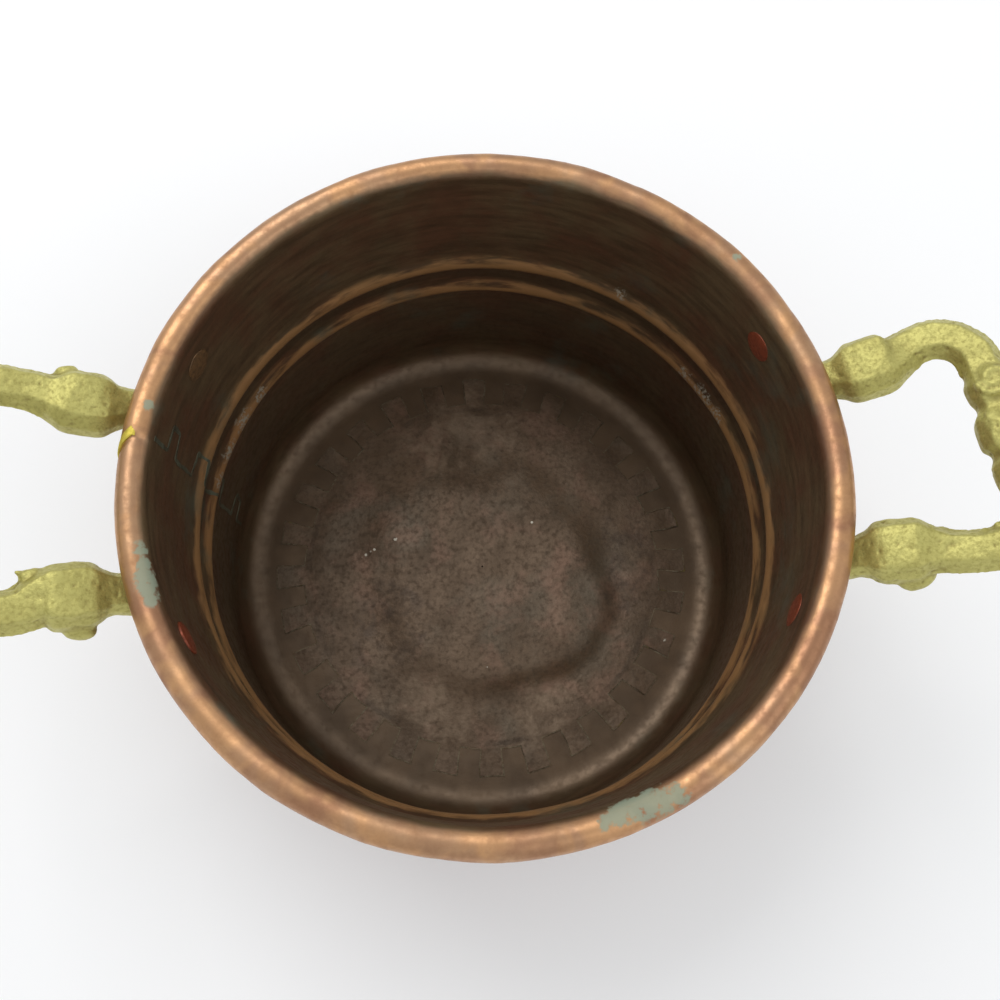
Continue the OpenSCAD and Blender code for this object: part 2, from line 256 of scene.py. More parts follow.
def agedCopperSheet():
    # Copper sheet, raised and planished by hand: soft brown shine on the rubbed rim, dull oxide inside,
    # green where it sat damp
    look = copperLook
    material, tree, shader, place = newMaterial("aged hand-planished copper")
    radius = radiusOf(tree, place)
    cloud = grains(tree, place, look["cloud"], 0.4, 0.62, 3)
    fleck = grains(tree, place, look["fleck"], 0.42, 0.7, 5)
    streak = grains(tree, place, look["streak"], 0.4, 0.68, 5, stretch=(0.25, 0.25, 1.6))
    worn = grains(tree, place, look["cloud"] * 0.6, 0.45, 0.6, 2, twist=0.5)
    wander = addNode(tree, "Math", {0: streak, 1: 1.1 * mm, 2: radius}, operation="MULTIPLY_ADD").outputs[0]
    inside = addNode(tree, "MapRange",
                     {"Value": wander, "From Min": 112.2 * mm, "From Max": 110.6 * mm}).outputs[0]
    inside = multiply(tree, inside, facingIn(tree, place))
    height = addNode(tree, "SeparateXYZ", {0: place}).outputs[2]
    low = addNode(tree, "MapRange", {"Value": height, "From Min": 141 * mm, "From Max": 133 * mm}).outputs[0]
    outer = blendColours(tree, colour(look["rim"]),
                         [(multiply(tree, cloud, 0.6), look["rimRed"]), (worn, look["rimWarm"]),
                                                   (multiply(tree, fleck, 0.2), look["rimDark"]), (low,
                                                           look["outside"]),
                                                   (multiply(tree, streak, 0.3), look["rimDark"])])
    inner = blendColours(tree, colour(look["inside"]),
                         [(cloud, look["insideRed"]), (multiply(tree, streak, 0.7), look["insideDark"])])
    # painted shade: the inner wall darkened towards the bottom of the pot
    deep = addNode(tree, "MapRange", {"Value": height, "From Min": 62 * mm, "From Max": 48 * mm}).outputs[0]
    inner = blendColours(tree, inner, [(multiply(tree, deep, 0.45), look["insideDark"])])
    # painted shade in the hollow between the two beads
    furrowShade = lineMask(tree, height, streak, sum(look["beads"]) / 2, look["beadHalf"])
    inner = blendColours(tree, inner, [(multiply(tree, furrowShade, 0.6), look["insideDark"])])
    # the beads' crests lightened: partly wear that polished them, partly a painted highlight
    for crest in look["beads"]:
        rubbed = lineMask(tree, height, streak, crest, look["beadHalf"])
        inner = blendColours(tree, inner, [(multiply(tree, rubbed, 0.7), look["bead"])])
    crumbs = grains(tree, place, 1.3, 0.46, 0.58, 5)
    crust = multiply(tree, spotMask(tree, place, fleck, look["limeSpots"]), crumbs)
    damp = multiply(tree, grains(tree, place, 30, 0.58, 0.7, 4), 0.35)
    inner = blendColours(tree, inner, [(damp, look["green"]), (crust, look["lime"])])
    flange = addNode(tree, "MapRange", {"Value": height, "From Min": 6 * mm, "From Max": 2.2 * mm}).outputs[0]
    inner = blendColours(tree, inner,
                         [(flange, look["bottom"]), (multiply(tree, multiply(tree, flange, cloud), 0.6),
                                                     look["bottomDark"])])
    base = addNode(tree, "Mix", {0: inside, 6: outer, 7: inner}, data_type="RGBA").outputs[2]
    green = spotMask(tree, place, fleck, look["verdigrisSpots"])
    base = blendColours(tree, base, [(multiply(tree, green, 0.8), look["verdigris"])])
    tree.links.new(base, shader.inputs["Base Color"])
    rough = addNode(tree, "MapRange", {"Value": fleck, "To Min": 0.36, "To Max": 0.55}).outputs[0]
    rough = addNode(tree, "Math", {0: green, 1: 0.4, 2: rough}, operation="MULTIPLY_ADD",
                    use_clamp=True).outputs[0]
    tree.links.new(rough, shader.inputs["Roughness"])
    shine = addNode(tree, "MapRange", {"Value": inside, "To Min": 0.95, "To Max": 0.5}).outputs[0]
    metal = addNode(tree, "Mix", {0: green, 2: shine, 3: 0.05}).outputs[0]
    tree.links.new(metal, shader.inputs["Metallic"])
    marks = addNode(tree, "TexVoronoi",
                    {"Vector": place, "Scale": perMetre(look["hammer"]),
                     "Smoothness": 0.6}, feature="SMOOTH_F1")
    relief = addNode(tree, "Bump", {"Strength": 0.5, "Distance": 0.35 * mm, "Height": marks.outputs[0]})
    pits = addNode(tree, "TexNoise", {"Vector": place, "Scale": perMetre(look["pit"]), "Detail": 3})
    relief = addNode(tree, "Bump", {"Strength": 0.22, "Distance": 0.12 * mm, "Height": pits.outputs[0],
                                    "Normal": relief.outputs[0]})
    tree.links.new(relief.outputs[0], shader.inputs["Normal"])
    return material


bottomLook = {
    # large places of painted light (pale) and painted shade (dark) on the bottom: x, y, z and radius in mm
    "paintedLightPlaces": [(-6, 68, 3, 24), (22, -74, 3, 18), (-30, -66, 3, 18)], "paintedShadePlaces": [(64, -6, 3, 26),
            (-42, -26, 3, 20)],
    # chips of lime that lie on the bottom: x, y, z and radius in mm
    "flecks": [(-57, 5.9, 3, 0.9), (-55, 7.1, 3, 0.8), (-53, 8.3, 3, 0.8), (-51, 9.5, 3, 0.7),
               (-49, 10.6, 3, 0.6),
               (-39.5, 14.6, 4, 1), (80.8, -37.2, 2, 0.8), (1.2, 47.9, 4, 0.7), (0, -45.9, 4, 0.7), (24, 20,
                       4, 0.5)],
}


def darkBottomCopper():
    # The same copper under heat and food: matt brown crust, rubbed to pinkish metal on the high places
    look = bottomLook
    material, tree, shader, place = newMaterial("burnt copper bottom")
    radius = radiusOf(tree, place)
    cloud = grains(tree, place, 30, 0.42, 0.6, 4, twist=0.6)
    fleck = grains(tree, place, 2.4, 0.45, 0.7, 6)
    pink = grains(tree, place, 22, 0.52, 0.68, 6, twist=0.3)
    grey = grains(tree, place, 38, 0.5, 0.7, 5)
    base = blendColours(tree, colour("6f5a45"), [(cloud, "5c4935"), (multiply(tree, grey, 0.5), "79705f"),
                                                 (multiply(tree, pink, 0.65), "8a6a56"), (multiply(tree,
                                                         fleck, 0.5), "483929")])
    mottle = grains(tree, place, 7, 0.4, 0.64, 6)
    # pale places are painted light and dark places painted shade on the bottom, broken up by the mottle
    for spots, share, code in (("paintedLightPlaces", 0.55, "947f68"), ("paintedShadePlaces", 0.6, "44362a")):
        spread = multiply(tree, spotMask(tree, place, cloud, look[spots]), mottle)
        base = blendColours(tree, base, [(multiply(tree, spread, share), code)])
    wobble = grains(tree, place, 8, 0.3, 0.7, 3)
    outer = addNode(tree, "MapRange", {"Value": radius, "From Min": 66 * mm, "From Max": 92 * mm}).outputs[0]
    crack = multiply(tree, lineMask(tree, radius, wobble, 78.6, 1.6), grains(tree, place, 40, 0.45, 0.6, 3))
    flecks = spotMask(tree, place, fleck, look["flecks"])
    base = blendColours(tree, base, [(multiply(tree, outer, 0.3), "574331"),
                                     (multiply(tree, crack, 0.5), "3a2d20"),
                                     (flecks, "c9c3b2")])
    tree.links.new(base, shader.inputs["Base Color"])
    rough = addNode(tree, "MapRange", {"Value": fleck, "To Min": 0.42, "To Max": 0.65}).outputs[0]
    tree.links.new(rough, shader.inputs["Roughness"])
    shader.inputs["Metallic"].default_value = 0.4
    marks = addNode(tree, "TexVoronoi", {"Vector": place, "Scale": perMetre(11), "Smoothness": 0.8},
                    feature="SMOOTH_F1")
    relief = addNode(tree, "Bump", {"Strength": 0.5, "Distance": 0.5 * mm, "Height": marks.outputs[0]})
    crust = addNode(tree, "TexNoise", {"Vector": place, "Scale": perMetre(1.6), "Detail": 6})
    relief = addNode(tree, "Bump", {"Strength": 0.5, "Distance": 0.3 * mm, "Height": crust.outputs[0],
                                    "Normal": relief.outputs[0]})
    tree.links.new(relief.outputs[0], shader.inputs["Normal"])
    return material


def rivetCopper(name, red):
    # Hammered rivet copper: redder than the sheet where fingers rub it, brown where they don't
    material, tree, shader, place = newMaterial(name)
    fleck = grains(tree, place, 1.6, 0.4, 0.7, 5)
    base = blendColours(tree, colour("94492f" if red else "80603f"), [(fleck, "7a3f2b" if red else "5a452f")])
    tree.links.new(base, shader.inputs["Base Color"])
    rough = addNode(tree, "MapRange", {"Value": fleck, "To Min": 0.35, "To Max": 0.6}).outputs[0]
    tree.links.new(rough, shader.inputs["Roughness"])
    shader.inputs["Metallic"].default_value = 0.45
    dents = addNode(tree, "TexVoronoi", {"Vector": place, "Scale": perMetre(3), "Smoothness": 0.7},
                    feature="SMOOTH_F1")
    relief = addNode(tree, "Bump", {"Strength": 0.6, "Distance": 0.25 * mm, "Height": dents.outputs[0]})
    tree.links.new(relief.outputs[0], shader.inputs["Normal"])
    return material


def brazingBrass():
    # Spelter run into the joint: pale yellow brass, gone greenish grey inside the pot
    material, tree, shader, place = newMaterial("run brazing brass")
    radius = radiusOf(tree, place)
    fleck = grains(tree, place, 1.4, 0.4, 0.65, 5)
    cloud = grains(tree, place, 9, 0.4, 0.62, 3)
    height = addNode(tree, "SeparateXYZ", {0: place}).outputs[2]
    upright = addNode(tree, "MapRange", {"Value": height, "From Min": 4 * mm, "From Max": 15 * mm}).outputs[0]
    inner = blendColours(tree, colour("655440"), [(upright, "7b8270"), (multiply(tree, cloud, 0.7), "433728"),
                                                  (multiply(tree, fleck, 0.35), "8f8a74")])
    outer = blendColours(tree, colour("d2bf52"), [(multiply(tree, fleck, 0.5), "a08f3a")])
    inside = addNode(tree, "MapRange",
                     {"Value": radius, "From Min": 114 * mm, "From Max": 112 * mm}).outputs[0]
    inside = multiply(tree, inside, facingIn(tree, place))
    base = addNode(tree, "Mix", {0: inside, 6: outer, 7: inner}, data_type="RGBA").outputs[2]
    tree.links.new(base, shader.inputs["Base Color"])
    shader.inputs["Roughness"].default_value = 0.5
    shader.inputs["Metallic"].default_value = 0.8
    grain = addNode(tree, "TexNoise", {"Vector": place, "Scale": perMetre(1.1), "Detail": 4})
    relief = addNode(tree, "Bump", {"Strength": 0.6, "Distance": 0.2 * mm, "Height": grain.outputs[0]})
    tree.links.new(relief.outputs[0], shader.inputs["Normal"])
    return material


def sandCastBrass():
    # Brass as it came out of the sand mould: grainy and matt, greenish yellow, lighter on its edges, partly
    # where hands polish it and partly as a painted highlight, with painted shade in its hollows
    material, tree, shader, place = newMaterial("sand-cast brass")
    cloud = grains(tree, place, 12, 0.4, 0.62, 3)
    fleck = grains(tree, place, 1.2, 0.45, 0.7, 4)
    base = blendColours(tree, colour("c0b96e"),
                        [(multiply(tree, cloud, 0.7), "aea65f"), (multiply(tree, fleck, 0.5), "8c8244")])
    # painted shade in the casting's hollows, and a lighter colour on its edges that is partly polish and
    # partly a painted highlight
    edges = addNode(tree, "NewGeometry", {}).outputs["Pointiness"]
    hollowShade = addNode(tree, "MapRange", {"Value": edges, "From Min": 0.5, "From Max": 0.44}).outputs[0]
    edgePolishAndHighlight = addNode(tree, "MapRange", {"Value": edges, "From Min": 0.53, "From Max": 0.6}).outputs[0]
    base = blendColours(tree, base, [(multiply(tree, hollowShade, 0.8), "6f5c30"),
                                     (multiply(tree, edgePolishAndHighlight, 0.7), "e9e384")])
    tree.links.new(base, shader.inputs["Base Color"])
    rough = addNode(tree, "MapRange", {"Value": fleck, "To Min": 0.42, "To Max": 0.62}).outputs[0]
    tree.links.new(rough, shader.inputs["Roughness"])
    shader.inputs["Metallic"].default_value = 0.65
    grit = addNode(tree, "TexNoise",
                   {"Vector": place, "Scale": perMetre(0.9), "Detail": 4, "Roughness": 0.65})
    relief = addNode(tree, "Bump", {"Strength": 0.7, "Distance": 0.25 * mm, "Height": grit.outputs[0]})
    tree.links.new(relief.outputs[0], shader.inputs["Normal"])
    return material


def ironWire():
    # Plain drawn iron, dark with old rust
    material, tree, shader, place = newMaterial("drawn iron wire", roughness=0.6)
    rust = grains(tree, place, 4, 0.4, 0.6, 5)
    base = blendColours(tree, colour("4a4644"), [(multiply(tree, rust, 0.7), "5c3a28")])
    tree.links.new(base, shader.inputs["Base Color"])
    return material


copperMaterial = agedCopperSheet()
bottomMaterial = darkBottomCopper()
redRivet = rivetCopper("rubbed rivet copper", True)
brownRivet = rivetCopper("tarnished rivet copper", False)
brazeMaterial = brazingBrass()
brassMaterial = sandCastBrass()
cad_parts["rim_wire"].data.materials.clear()
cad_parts["rim_wire"].data.materials.append(ironWire())
print("materials made")


# Sheet, bottom and the toothed joint between them share one round grid

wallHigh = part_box("wall")[1]
sheet = {
    "rimRadius": wallHigh.x / mm, "height": wallHigh.z / mm, "thickness": 1.8, "cornerRadius": 12,
    "rollRadius": 5.1, "rollEnd": -124.6, "beadDrops": (61, 79.5), "beadWidth": 13, "beadRise": 2.4,
    "unevenness": 0.28, "setIn": 0.25, "cornerRows": 9, "rollRows": 44,
    # angle, height, width and depth of dents left by use
    "dents": [(12, 118, 26, 0.7), (63, 122, 30, -0.6), (118, 112, 24, 0.6), (205, 122, 26, 0.7),
              (250, 90, 40, 0.8),
              (292, 60, 36, 0.7), (330, 105, 28, -0.6), (40, 45, 34, 0.6), (140, 40, 30, 0.7), (222, 35, 30,
                      0.6)],
}
sheet["wallIn"] = sheet["rimRadius"] - 2 * sheet["rollRadius"]
sheet["wireRing"] = sheet["wallIn"] + sheet["rollRadius"]
sheet["wireHeight"] = sheet["height"] - sheet["rollRadius"]
cornerIn = sheet["wallIn"] - sheet["cornerRadius"]
cornerHeight = sheet["thickness"] + sheet["cornerRadius"]

bottom = {
    "thickness": 2.0, "cramps": 28, "share": 0.5, "outer": 92.8, "inner": 80.8, "gap": 0.5,
    "pushUp": 2.6, "wander": 0.75, "proud": 0.2, "tilt": 0.22, "brazeProud": 0.25,
    # where the raised middle ends, and over how long a slope, by direction
    "edge": [(0, 60), (30, 62), (60, 58), (90, 60), (125, 66), (160, 62), (195, 58), (225, 60), (255, 63),
             (285, 58), (310, 64), (335, 66)],
    "slope": [(0, 16), (40, 26), (90, 28), (130, 30), (180, 24), (215, 20), (250, 18), (285, 10), (320, 9),
              (345, 11)],
    # x, y, reach and depth of the beaten hollows, in mm
    "hollows": [(54, -22, 10, 0.9), (36, -52, 12, 1.1), (18, -56, 11, 0.9), (-50, -26, 13, 0.7),
                (0, 56, 14, 0.7), (36, 46, 12, 0.6)],
}
seam = {
    "angle": 170, "lean": 7, "tabLength": 9, "tabHalf": 5, "tabTip": 4, "tabHeights": (28, 59, 90, 121),
    "halfWidth": 0.75, "proud": 0.16, "deep": 0.9, "finest": 0.35,
    # where the two ends of the rolled edge meet, by the angle round the wire
    "creaseArc": (-124, -40, 0, 90, 180), "creaseAt": (176.5, 176.2, 175.7, 172.4, 172.7),
    "step": 0.4, "stepFade": 15, "groove": 0.7, "grooveHalf": 0.45,
    "patchArc": (-25, 0, 40, 80, 100), "patchFrom": (175.4, 174.6, 172.2, 170.6, 171.6), "patchProud": 0.3,
}


def gridAngles():  # angles of the grid's columns, and what each cell between two of them belongs to
    pitch = 360 / bottom["cramps"]
    half = pitch * bottom["share"] / 2
    slit = math.degrees(bottom["gap"] / 2 / bottom["inner"])
    angles, kinds = [], []
    for k in range(bottom["cramps"]):
        middle = k * pitch
        fine = abs(middle - seam["angle"]) < 1.6 * pitch
        for kind, start, end in (("tab", -half + slit, half - slit), ("slit", half - slit, half + slit),
                                 ("finger", half + slit, pitch - half - slit), ("slit", pitch - half - slit,
                                         pitch - half + slit)):
            count = 1 if kind == "slit" else max(1, round((end - start) / (seam["finest"] if fine else 1.0)))
            for i in range(count):
                angles.append(middle + start + (end - start) * i / count)
                kinds.append(kind)
    return np.array(angles), np.array(kinds)


def sheetProfile(depth):  # one face of the sheet as (radius, height) rows from the corner to the roll's end
    rows = []
    for a in np.linspace(-90, 0, sheet["cornerRows"]):
        rows.append((cornerIn + (sheet["cornerRadius"] + depth) * math.cos(math.radians(a)),
                     cornerHeight + (sheet["cornerRadius"] + depth) * math.sin(math.radians(a))))
    for z in wallHeights:
        bead = 0
        for drop in sheet["beadDrops"]:
            t = (z - (sheet["height"] - drop)) / (sheet["beadWidth"] / 2)
            if abs(t) < 1:
                bead = sheet["beadRise"] * (1 + math.cos(math.pi * t)) / 2
        rows.append((sheet["wallIn"] + depth - bead, z))
    for a in np.linspace(180, sheet["rollEnd"], sheet["rollRows"]):
        rows.append((sheet["wireRing"] + (sheet["rollRadius"] - depth) * math.cos(math.radians(a)),
                     sheet["wireHeight"] + (sheet["rollRadius"] - depth) * math.sin(math.radians(a))))
    return np.array(rows)


def evenRows(low, high, step):
    return list(np.linspace(low, high, max(2, round((high - low) / step) + 1)))[1:-1]


beadTops = [sheet["height"] - drop for drop in reversed(sheet["beadDrops"])]
wallHeights = evenRows(cornerHeight, beadTops[0] - sheet["beadWidth"] / 2, 3.4)
for top in beadTops:
    wallHeights += list(np.linspace(top - sheet["beadWidth"] / 2, top + sheet["beadWidth"] / 2, 15))
    wallHeights += [top + sheet["beadWidth"] / 2 + 2] if top == beadTops[0] else []
wallHeights += evenRows(beadTops[1] + sheet["beadWidth"] / 2, sheet["wireHeight"], 3.4)
wallHeights = sorted(set(round(z, 4) for z in wallHeights))


def handWork(angle, height):  # how far the sheet's faces stand out of true, in mm
    place = onCylinder(angle, sheet["wallIn"], height)
    out = sheet["unevenness"] * lumps(place, 34, 3) + 0.3 * sheet["unevenness"] * lumps(place, 13, 4)
    for at, z, width, depth in sheet["dents"]:
        away = np.hypot(((angle - at + 180) % 360 - 180) * math.radians(1) * sheet["wallIn"], height - z)
        out = out + depth * np.exp(-(away / (width / 2)) ** 2)
    return out * smoothStep(2, 30, height) - sheet["setIn"]


columnAngles, columnKinds = gridAngles()
floorRadii = [0.4] + list(np.linspace(2.4, 66, 27)) + list(np.linspace(68,
        bottom["inner"] - bottom["gap"] / 2, 7))
slitIn = len(floorRadii) - 1  # row where the plate's body ends
floorRadii += list(np.linspace(bottom["inner"] + bottom["gap"] / 2, bottom["outer"] - bottom["gap"] / 2, 8))
slitOut = len(floorRadii) - 1  # row where the tabs end
floorRadii += [bottom["outer"] + bottom["gap"] / 2, (bottom["outer"] + cornerIn) / 2 + 0.3]
floorRadii = np.array(floorRadii)
floorGrid = np.broadcast_to(columnAngles, (len(floorRadii), len(columnAngles)))
radiusGrid = np.broadcast_to(floorRadii[:, None], floorGrid.shape)


def wandered(angle, radius):  # hand-cut edges: moves the joint's lines a little sideways and in or out
    place = onCylinder(angle, radius, 0)
    fade = smoothStep(60, 78, radius) * (1 - smoothStep(93.5, 96, radius))
    newRadius = radius + fade * bottom["wander"] * (lumps(place, 15, 11) + 0.6 * lumps(place, 6, 12))
    newAngle = angle + fade * np.degrees(bottom["wander"] * 0.8 / 86) * (lumps(place, 9,
            13) + 0.5 * lumps(place, 4, 14))
    return newAngle, newRadius


def bottomRelief(angle, radius):  # height of the beaten middle and of small dents, in mm
    place = onCylinder(angle, radius, 0)
    edge = roundTheWay(angle, bottom["edge"]) + 2.5 * lumps(place, 22, 21)
    slope = roundTheWay(angle, bottom["slope"])
    raised = bottom["pushUp"] * (1 - smoothStep(0, 1, (radius - edge + slope) / slope))
    sag = 0.5 * np.exp(-((radius - 20) / 22) ** 2)
    small = 0.4 * lumps(place, 24, 22) + 0.17 * lumps(place, 9, 23) + 0.06 * lumps(place, 4, 24)
    for x, y, reach, depth in bottom["hollows"]:
        small = small - depth * np.exp(-((place[..., 0] - x) ** 2 + (place[..., 1] - y) ** 2) / reach ** 2)
    return raised - sag + small * (1 - smoothStep(88, 95, radius))


floorAngle, floorRadius = wandered(floorGrid, radiusGrid)
relief = bottomRelief(floorAngle, floorRadius)
# counts cramps and the flange's teeth between them
toothNumber = np.round(floorGrid / (180 / bottom["cramps"]))
toothPlace = np.stack([toothNumber * 7.3, radiusGrid / 9, floorGrid * 0], -1)
tabTilt = bottom["tilt"] * lumps(toothPlace, 1.7, 31)
plateRise = bottom["thickness"] + relief + bottom["proud"] + tabTilt * smoothStep(80, 84, floorRadius)
plateTop = onCylinder(floorAngle, floorRadius, plateRise)
plateUnder = onCylinder(floorAngle, floorRadius,
                        np.maximum(0, relief * (1 - smoothStep(60, 76, floorRadius))))
flangeRise = sheet["thickness"] + 0.25 * relief * (1 - smoothStep(80, 95, floorRadius)) - 0.1 * tabTilt
flangeTop = onCylinder(floorAngle, floorRadius, flangeRise)
flangeUnder = onCylinder(floorAngle, floorRadius, 0)
brazeRise = bottom["brazeProud"] * (1 + lumps(flangeUnder, 5, 33))
brazeTop = onCylinder(floorAngle, floorRadius, sheet["thickness"] + brazeRise)

cell = np.arange(len(floorRadii) - 1)[:, None]
tabCell = columnKinds[None, :] == "tab"
fingerCell = columnKinds[None, :] == "finger"
plateCells = (cell < slitIn) | (tabCell & (cell < slitOut))
flangeCells = (fingerCell & (cell > slitIn)) | (cell > slitOut)
brazeCells = ~(plateCells | flangeCells)

points, faces = solidFromCells(plateTop, plateUnder, plateCells)
bottomPlate = makePiece("bottomPlate", points, faces, bottomMaterial, 30)
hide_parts("base_plate")
points, faces = solidFromCells(brazeTop, flangeUnder, brazeCells)
bottomBraze = makePiece("bottomBraze", points, faces, brazeMaterial)
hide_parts("base_seam_spelter")

profileIn, profileOut = sheetProfile(0), sheetProfile(sheet["thickness"])
sheetAngle = np.broadcast_to(columnAngles, (len(profileIn), len(columnAngles)))


# unevenness of the hand-rolled rim, always inwards, with the lap at the seam
def rimWork(angle, arc, height):
    place = onCylinder(angle, sheet["rimRadius"], height)
    away = angle - np.interp(arc, seam["creaseArc"], seam["creaseAt"])
    lap = seam["step"] * smoothStep(0, 0.5, away) * (1 - smoothStep(1, seam["stepFade"], away))
    groove = seam["groove"] * np.exp(-(away / seam["grooveHalf"]) ** 2)
    return -0.24 - 0.2 * lumps(place, 18, 41) - 0.1 * lumps(place, 7, 42) - 0.05 * lumps(place, 3,
            43) - lap - groove


def sheetFace(profile, angle):
    r, z = profile[:, :1], profile[:, 1:]
    out = handWork(angle, np.minimum(z, sheet["wireHeight"]))
    rolled = (np.arange(len(profile)) >= len(profile) - sheet["rollRows"])[:, None]
    dr, dz = r - sheet["wireRing"], z - sheet["wireHeight"]
    length = np.maximum(np.hypot(dr, dz), 0.1)
    arc = np.degrees(np.arctan2(dz, dr))
    arc = np.where(arc > 179.9, 180, arc)
    shrink = np.where(rolled, rimWork(angle, arc, z), 0) * (1 - smoothStep(130, 180, arc))
    fade = np.where(rolled, smoothStep(sheet["wireRing"] + 2, sheet["wireRing"] - 5, r), 1)
    return onCylinder(angle, r + out * fade + shrink * dr / length, z + shrink * dz / length)


sheetIn = np.concatenate([flangeTop, sheetFace(profileIn, sheetAngle)])
sheetOut = np.concatenate([flangeUnder, sheetFace(profileOut, sheetAngle)])
sheetCells = np.concatenate([flangeCells, np.ones((len(profileIn), len(columnAngles)), bool)])
points, faces = solidFromCells(sheetIn, sheetOut, sheetCells)
potSheet = makePiece("potSheet", points, faces, copperMaterial, 50)
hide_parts("wall")
print("sheet and bottom made:", len(potSheet.data.polygons), "+", len(bottomPlate.data.polygons), "faces")


# Brass run into the upright seam, and the patch of it left on the rim

wallRows = slice(sheet["cornerRows"], sheet["cornerRows"] + len(wallHeights))


def sheetSurface(profile, angle, height):  # radius of one face of the wall
    return np.interp(height, profile[wallRows, 1], profile[wallRows, 0]) + handWork(angle, height)


def ribbonSolid(path, profile, proud, deep):  # thin uneven bar along a path of (mm round the wall, height)
    along = np.gradient(path, axis=0)
    along /= np.linalg.norm(along, axis=1)[:, None]
    across = np.stack([-along[:, 1], along[:, 0]], 1)
    half = seam["halfWidth"] * (1 + 0.45 * lumps(np.c_[path, path[:, 0] * 0], 2.3, 61))
    corners = []
    for side, depth in ((-1, proud), (1, proud), (1, deep), (-1, deep)):
        spot = path + across * (side * half)[:, None]
        angle = np.degrees(spot[:, 0] / sheet["wallIn"])
        corners.append(onCylinder(angle, sheetSurface(profile, angle, spot[:, 1]) + depth, spot[:, 1]))
    points = np.stack(corners, 1).reshape(-1, 3)
    faces = [tuple(4 * i + k for k in (0, 1, 2, 3)) for i in (0, len(path) - 1)]
    return points, faces + ringFaces(len(path), 4)


def gather(parts):  # several point and face lists as one
    points, faces, start = [], [], 0
    for partPoints, partFaces in parts:
        points.append(np.asarray(partPoints, float).reshape(-1, 3))
        faces += [tuple(int(v) + start for v in face) for face in partFaces]
        start += len(points[-1])
    return np.concatenate(points), faces


def seamLine(height):  # mm round the wall's inner face, at a height
    return math.radians(seam["angle"]) * sheet["wallIn"] + seam["lean"] * (height / sheet["height"] - 0.5)


corners = [(seamLine(cornerHeight + 1), cornerHeight + 1)]
for at in seam["tabHeights"]:
    for side, half, length in ((-1, "tabHalf", 0), (-1, "tabTip", 1), (1, "tabTip", 1), (1, "tabHalf", 0)):
        corners.append((seamLine(at) - length * seam["tabLength"], at + side * seam[half]))
corners.append((seamLine(sheet["wireHeight"] - 1), sheet["wireHeight"] - 1))
corners = np.array(corners)
run = np.r_[0, np.cumsum(np.linalg.norm(np.diff(corners, axis=0), axis=1))]
steps = np.arange(0, run[-1], 0.6)
seamPath = np.stack([np.interp(steps, run, corners[:, k]) for k in (0, 1)], 1)
seamPath[1:-1] = (seamPath[:-2] + seamPath[1:-1] + seamPath[2:]) / 3
wanderSteps = np.c_[seamPath, steps * 0]
seamPath = seamPath + np.stack([lumps(wanderSteps, 5, 62), lumps(wanderSteps, 5, 63)], 1) * 0.45

patchArcs = np.linspace(seam["patchArc"][0], seam["patchArc"][-1], 26)[:, None]
patchEnd = np.interp(patchArcs, seam["creaseArc"], seam["creaseAt"]) - 0.15
patchStart = np.interp(patchArcs, seam["patchArc"], seam["patchFrom"])
patchShare = np.linspace(0, 1, 14)[None, :]
patchAngles = patchStart + (patchEnd - patchStart) * patchShare
inPatch = np.minimum(np.sin(np.pi * patchShare), np.sin(np.pi * np.linspace(0, 1, 26))[:, None]) ** 0.4
ragged = 0.12 * lumps(onCylinder(patchAngles, 120, patchArcs / 5), 1.6, 64)


def onRoll(arc, angle, radius):  # point on the rolled rim
    return onCylinder(angle, sheet["wireRing"] + radius * np.cos(np.radians(arc)),
                      sheet["wireHeight"] + radius * np.sin(np.radians(arc)))


patchTop = onRoll(patchArcs, patchAngles,
                  sheet["rollRadius"] - 0.35 + (seam["patchProud"] + ragged) * inPatch)
patchUnder = onRoll(patchArcs, patchAngles, sheet["rollRadius"] - 1.2)
wide = np.concatenate([patchTop, patchTop[:, -1:]], 1)
patchCells = np.ones((len(patchArcs) - 1, wide.shape[1]), bool)
patchCells[:, -2:] = False
wideUnder = np.concatenate([patchUnder, patchUnder[:, -1:]], 1)
points, faces = gather([ribbonSolid(seamPath, profileIn, -seam["proud"], seam["deep"]),
                        ribbonSolid(seamPath, profileOut, seam["proud"], -seam["deep"]),
                        solidFromCells(wide, wideUnder, patchCells)])
sideBraze = makePiece("sideBraze", points, faces, brazeMaterial)
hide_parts("side_seam_spelter")
print("seam brass made")


# Cast handles

casting = {
    "wallOut": 111.6, "rootHeight": 125, "rise": 24, "rootSpan": 64, "shoulderSpan": 75, "reach": 63,
    "shoulder": 16,
    "skew": 8, "lean": 4, "rootIn": 5, "rootLead": 4, "armWidth": 13, "armHeight": 11.5,
    "rootFlare": 3, "flareEnd": 15,
    "knuckleAt": 24, "knuckleLong": 18, "knuckleWidth": 22, "knuckleHeight": 18,
    "lobeAt": 15, "lobeLong": 10, "lobeWidth": 18, "bossLong": 13, "bossWidth": 20, "gripRise": 0.6,
    "section": [(0.62, 1), (0.95, 0.45), (1, -0.1), (0.8, -0.75), (0.42, -1),
                (-0.42, -1), (-0.8, -0.75), (-1, -0.1), (-0.95, 0.45), (-0.62, 1)],
    "footOut": 115.2, "footEnd": 7.2, "footRoot": 8, "rivetHeight": 127.5, "rivetAngle": 25.75,
    "footEdge": 1.2,
    "seat": 0.6, "voxel": 0.62, "grain": 0.16, "lump": 0.2, "pit": 0.3,
    # place, half sizes, turn in degrees and squareness of the forms that stand on the casting
    "forms": [((25.5, 35.2, 6.4), (6.2, 7.4, 3), 5, 0.45), ((24.5, -31.8, 6.4), (6.6, 7.2, 3), -4, 0.4),
              ((33.6, 35.6, 0.5), (1.5, 7.6, 6.6), 8, 0.6), ((33.8, -31.4, 0.5), (1.5, 7.6, 6.6), -8, 0.6),
              ((60.5, 20.5, 5.5), (4.6, 5.6, 2.6), 20, 1), ((65, -11, 5.5), (4.6, 5.4, 2.6), -20, 1),
              ((62.5, 4.2, 5.6), (6.6, 4.6, 3), 0, 0.7)],
}
